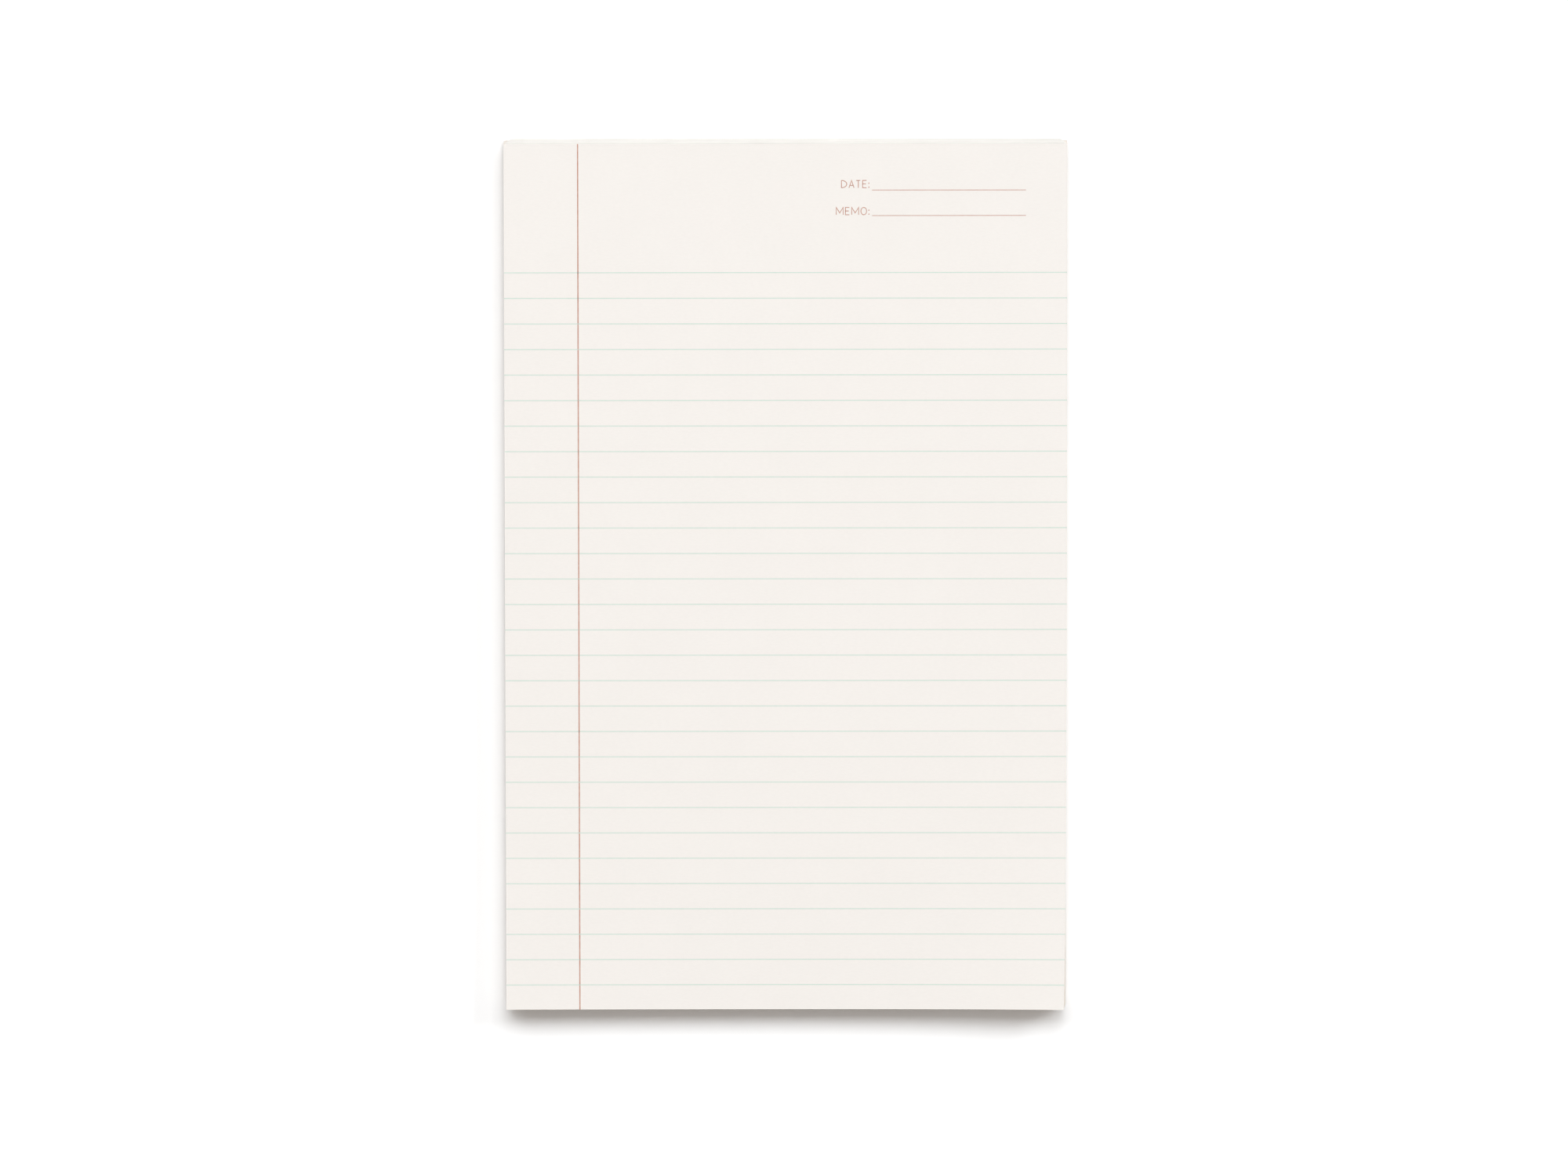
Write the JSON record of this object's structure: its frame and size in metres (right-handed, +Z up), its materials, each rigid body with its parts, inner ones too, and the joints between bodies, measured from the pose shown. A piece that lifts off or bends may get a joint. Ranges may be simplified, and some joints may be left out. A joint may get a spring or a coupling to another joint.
{
  "type": "writing pad",
  "caption": "Junior legal pad lying flat: a block of ruled, curling sheets on a chipboard back, glued along its top edge, with a margin line and two header fields.",
  "frame": {"origin": "under the middle of the pad, on the surface that it lies on", "axes": "+Y towards the glued edge, at the head of the page; +X to the writer's right; +Z up, out of the page"},
  "size_m": [0.1396, 0.217, 0.0092],
  "materials": {
    "paper": "matt ivory writing paper, ruled in pale green with terracotta lines",
    "board": "matt grey-brown chipboard with fine flecks",
    "glue": "thin off-white film of dried padding compound, slightly satin"
  },
  "bodies": {
    "root": {"page_block": "paper", "backing_board": "board", "binding_glue": "glue"}
  },
  "joints": []
}
